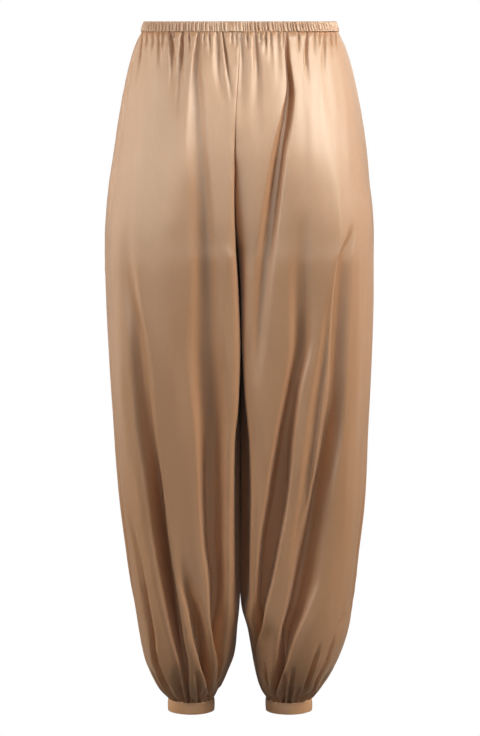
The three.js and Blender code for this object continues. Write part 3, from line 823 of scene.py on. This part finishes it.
def split_vector(tree, vector):
    node = tree.nodes.new("ShaderNodeSeparateXYZ")
    tree.links.new(vector, node.inputs[0])
    return node.outputs


def swing(tree, value, amount):
    """How far a value is from a half, times amount."""
    return maths(tree, "MULTIPLY", maths(tree, "SUBTRACT", value, 0.5), amount)


def scaled_colour(tree, colour, factor):
    node = tree.nodes.new("ShaderNodeVectorMath")
    node.operation = "SCALE"
    tree.links.new(colour, node.inputs[0])
    return fill(tree, node, Scale=factor).outputs[0]


def stretched_noise(tree, place, across, down, detail, shift=0.0):
    """Noise with so many patches in a metre across the cloth and down it."""
    mapping = tree.nodes.new("ShaderNodeMapping")
    fill(tree, mapping, Scale=(across, down, 1), Location=(shift, shift, 0), Vector=place)
    texture = tree.nodes.new("ShaderNodeTexNoise")
    texture.noise_dimensions = "2D"
    return fill(tree, texture, Scale=1.0, Detail=detail, Vector=mapping.outputs[0]).outputs["Fac"]


def satin_weave_group():
    """Long threads that run down the cloth and lie side by side, some a little thicker than others."""
    tree, given, result = node_group(
        "satin_weave",
        [("Cloth", "Vector", None), ("Threads", "Float", 900.0), ("Slub", "Float", 0.5),
         ("Depth", "Float", 0.0002)],
        [("Thread", "Float"), ("Slubs", "Float"), ("Normal", "Vector")],
    )
    place = split_vector(tree, given["Cloth"])
    turns = maths(tree, "MULTIPLY", place["X"], given["Threads"])
    wave = maths(tree, "SINE", maths(tree, "MULTIPLY", turns, 2 * math.pi))
    threads = stretched_noise(tree, given["Cloth"], 700, 34, 2.0)
    slubs = stretched_noise(tree, given["Cloth"], 150, 7, 3.0, 3.7)
    thread = maths(tree, "ADD", maths(tree, "MULTIPLY", wave, 0.18), threads)
    thick = maths(tree, "MULTIPLY", slubs, given["Slub"])
    height = maths(tree, "ADD", thread, thick)
    bump = tree.nodes.new("ShaderNodeBump")
    fill(tree, bump, Strength=0.6, Height=height, Distance=given["Depth"])
    fill(tree, result, Thread=thread, Slubs=slubs, Normal=bump.outputs["Normal"])
    return tree


def cloth_tone_group():
    """Soft uneven patches of a lighter and a darker shade, drawn out down the cloth."""
    tree, given, result = node_group(
        "cloth_tone",
        [("Cloth", "Vector", None), ("Colour", "Color", (0.5, 0.5, 0.5, 1)), ("Amount", "Float", 0.12),
         ("Thread", "Float", 0.5), ("Thread Amount", "Float", 0.08)],
        [("Colour", "Color"), ("Patches", "Float")],
    )
    patches = stretched_noise(tree, given["Cloth"], 9, 3.5, 3.0, 1.3)
    broad = swing(tree, patches, given["Amount"])
    fine = swing(tree, given["Thread"], given["Thread Amount"])
    factor = maths(tree, "ADD", maths(tree, "ADD", broad, fine), 1.0)
    fill(tree, result, Colour=scaled_colour(tree, given["Colour"], factor), Patches=patches)
    return tree


def stitch_row_group():
    """A row of stitches across the cloth, at a distance down it. Both outputs are masks: the stitches, and
    painted shade in the dent beside them.
    """
    tree, given, result = node_group(
        "stitch_row",
        [("Cloth", "Vector", None), ("Down", "Float", 0.0), ("Pitch", "Float", 0.0028),
         ("Width", "Float", 0.0005)],
        [("Stitch", "Float"), ("Dent", "Float")],
    )
    place = split_vector(tree, given["Cloth"])
    turns = maths(tree, "DIVIDE", place["X"], given["Pitch"])
    from_middle = maths(tree, "SUBTRACT", maths(tree, "FRACT", turns), 0.5)
    along = maths(tree, "MULTIPLY", maths(tree, "ABSOLUTE", from_middle), 2.0)
    away = maths(tree, "SUBTRACT", place["Y"], given["Down"])
    across = maths(tree, "DIVIDE", maths(tree, "ABSOLUTE", away), given["Width"])
    inside_width = maths(tree, "LESS_THAN", across, 1.0)
    inside_length = maths(tree, "LESS_THAN", along, 0.72)
    stitch = maths(tree, "MULTIPLY", inside_width, inside_length)
    near = maths(tree, "SUBTRACT", 1.0, maths(tree, "DIVIDE", across, 3.0))
    # painted shade of the stitches' dent: darkest at the stitches, fading out within three widths
    dent_shade = maths(tree, "MAXIMUM", near, 0.0)
    fill(tree, result, Stitch=stitch, Dent=dent_shade)
    return tree


GROUPS = {}  # the node groups, by name


def placed(tree, group, **values):
    """One of the node groups in a material, with its own values."""
    node = tree.nodes.new("ShaderNodeGroup")
    node.node_tree = GROUPS[group]
    return fill(tree, node, **values)


def satin(name, colour, roughness, metallic, sheen, tone=0.14, thread=0.1, stitches=()):
    """Satin in one colour. stitches are the distances of its rows of stitches down the cloth."""
    material = bpy.data.materials.new(name)
    material.use_nodes = True
    tree = material.node_tree
    shader = tree.nodes["Principled BSDF"]
    fill(tree, shader, Metallic=metallic, Specular_IOR_Level=1.0, Specular_Tint=(1, 1, 0.87, 1),
         Anisotropic=0.65, Sheen_Weight=sheen, Sheen_Roughness=0.4, Sheen_Tint=(1, 0.95, 0.82, 1))
    grain = tree.nodes.new("ShaderNodeUVMap")
    grain.uv_map = "grain"
    cloth = grain.outputs["UV"]
    weave = placed(tree, "satin_weave", Cloth=cloth)
    shade = placed(tree, "cloth_tone", Cloth=cloth, Colour=(*colour, 1), Amount=tone,
                   Thread=weave.outputs["Thread"], Thread_Amount=thread)
    painted = shade.outputs["Colour"]
    for down in stitches:
        row = placed(tree, "stitch_row", Cloth=cloth, Down=down)
        # the colour is darkened beside the stitches as painted shade of their dent, and lightened on the
        # stitches themselves
        dark = maths(tree, "SUBTRACT", 1.0, maths(tree, "MULTIPLY", row.outputs["Dent"], 0.3))
        light = maths(tree, "ADD", dark, maths(tree, "MULTIPLY", row.outputs["Stitch"], 0.35))
        painted = scaled_colour(tree, painted, light)
    uneven = swing(tree, weave.outputs["Slubs"], 0.16)
    patchy = swing(tree, shade.outputs["Patches"], 0.12)
    rough = maths(tree, "ADD", maths(tree, "ADD", uneven, patchy), roughness)
    tangent = tree.nodes.new("ShaderNodeTangent")
    tangent.direction_type = "UV_MAP"
    tangent.uv_map = "grain"
    fill(tree, shader, Base_Color=painted, Roughness=rough, Normal=weave.outputs["Normal"],
         Tangent=tangent.outputs["Tangent"])
    return material


# The camera looks slightly down from waist height, as in the photo. The floor is well below.
CAMERA_DISTANCE = 4.4
CAMERA_PITCH_DOWN = math.radians(6.738)
CAMERA_LENS = 143.5
FLOOR_HEIGHT = -1.45
FLOOR_HALF = 9.0


def make_camera():
    data = bpy.data.cameras.new("camera")
    data.lens = CAMERA_LENS
    data.sensor_width = 36
    camera = add_object("camera", data)
    camera.location = (0, -CAMERA_DISTANCE, 0)
    camera.rotation_euler = (math.pi / 2 - CAMERA_PITCH_DOWN, 0, 0)
    bpy.context.scene.camera = camera


def soft_light(name, place, aim, size, power, only_gloss):
    data = bpy.data.lights.new(name, "AREA")
    data.shape = "RECTANGLE"
    data.size, data.size_y = size
    data.energy = power
    light = add_object(name, data)
    light.location = place
    light.rotation_euler = (Vector(aim) - Vector(place)).to_track_quat("-Z", "Y").to_euler()
    light.visible_camera = False
    light.visible_diffuse = not only_gloss


def seen_white(tree, lit):
    """Adds a plain white that only the camera sees, in place of lit."""
    nodes, links = tree.nodes, tree.links
    white = nodes.new("ShaderNodeBackground" if "World Output" in nodes else "ShaderNodeEmission")
    fill(tree, white, Color=(1, 1, 1, 1), Strength=1.0)
    mix = nodes.new("ShaderNodeMixShader")
    path = nodes.new("ShaderNodeLightPath")
    links.new(path.outputs["Is Camera Ray"], mix.inputs[0])
    links.new(lit, mix.inputs[1])
    links.new(white.outputs[0], mix.inputs[2])
    return mix.outputs[0]


def make_floor():
    half = FLOOR_HALF
    corners = [(-half, -half, 0), (half, -half, 0), (half, half, 0), (-half, half, 0)]
    mesh = bpy.data.meshes.new("floor")
    mesh.from_pydata(corners, [], [(0, 1, 2, 3)])
    floor = add_object("floor", mesh)
    floor.location = (0, 0, FLOOR_HEIGHT)
    pale = bpy.data.materials.new("floor_white")
    pale.use_nodes = True
    tree = pale.node_tree
    shader = fill(tree, tree.nodes["Principled BSDF"], Base_Color=(0.07, 0.07, 0.07, 1), Roughness=0.9)
    fill(tree, tree.nodes["Material Output"], Surface=seen_white(tree, shader.outputs[0]))
    mesh.materials.append(pale)


def smooth_rise(tree, value, start, end, most):
    """0 where value is below start, most where it is above end and an even rise between."""
    node = tree.nodes.new("ShaderNodeMapRange")
    node.interpolation_type = "SMOOTHSTEP"
    fill(tree, node, From_Min=start, From_Max=end, To_Min=0.0, To_Max=most, Value=value)
    return node.outputs[0]


def make_world():
    """A white room, dim in front and below, so that the satin has something dark to mirror."""
    world = bpy.data.worlds.new("studio")
    world.use_nodes = True
    tree = world.node_tree
    toward = split_vector(tree, tree.nodes.new("ShaderNodeTexCoord").outputs["Generated"])
    above = smooth_rise(tree, toward["Z"], -0.25, 0.7, 0.13)
    behind = smooth_rise(tree, toward["Y"], -0.15, 0.75, 0.25)
    lit = fill(tree, tree.nodes["Background"], Color=(1, 0.985, 0.96, 1),
               Strength=maths(tree, "ADD", above, behind))
    fill(tree, tree.nodes["World Output"], Surface=seen_white(tree, lit.outputs[0]))
    bpy.context.scene.world = world


# Each light's name, place, aim, size and power, and True if only its gloss shows
LIGHTS = [
    ("key_softbox", (1.95, -0.95, 0.8), (0.05, 0, -0.2), (1.0, 1.3), 52, False),
    ("fill_softbox", (-2.1, -0.8, 0.5), (0, 0, -0.2), (1.3, 1.6), 36, False),
    ("front_softbox", (0.35, -1.5, 1.7), (0, 0, -0.1), (1.2, 0.6), 6, False),
    ("low_softbox", (0.1, -1.3, -1.4), (0, 0, -0.98), (1.4, 0.4), 1.8, False),
    ("right_gloss_card", (1.7, -1.7, 0.9), (0.08, 0, -0.1), (1.1, 1.2), 39, True),
    ("front_gloss_card", (0.2, -2.4, 0.4), (0, 0, -0.25), (2.4, 1.5), 30, True),
    ("left_gloss_card", (-1.4, -1.9, -0.15), (-0.05, 0, -0.3), (1.0, 1.2), 16, True),
    ("back_gloss_card", (0.9, 2.3, 0.6), (0, 0, -0.2), (1.8, 1.4), 16, True),
    ("left_strip", (1.9, 0.9, -0.1), (0, 0, -0.45), (0.6, 2.0), 8, False),
    ("right_strip", (-1.9, 0.9, -0.1), (0, 0, -0.45), (0.6, 2.0), 13, False),
]


def build():
    GROUPS["satin_weave"] = satin_weave_group()
    GROUPS["cloth_tone"] = cloth_tone_group()
    GROUPS["stitch_row"] = stitch_row_group()
    body = satin("champagne_satin", (0.54, 0.276, 0.134), 0.46, 0, 0.3)
    reverse = satin("satin_reverse", (0.37, 0.205, 0.115), 0.62, 0.05, 0.15)
    casing = satin("waistband_satin", (0.53, 0.271, 0.132), 0.42, 0, 0.3, 0.2, 0.14, (0.0128,))
    # the cuffs are the same satin as the body, painted lighter as painted light, to make up for the lamps
    # reaching the hem less
    pressed = satin("cuff_satin", (0.75, 0.386, 0.182), 0.48, 0, 0.3, 0.16, 0.14, (1.0312,))
    for leg in SIDE:
        for face in ("front", "back"):
            panel = make_panel(leg, face, [body, reverse])
    band = make_waistband([casing])
    for leg in SIDE:
        cuff = make_cuff(leg, [pressed])


make_camera()
make_floor()
make_world()
for light in LIGHTS:
    soft_light(*light)
build()
bpy.context.scene.view_settings.view_transform = "Standard"
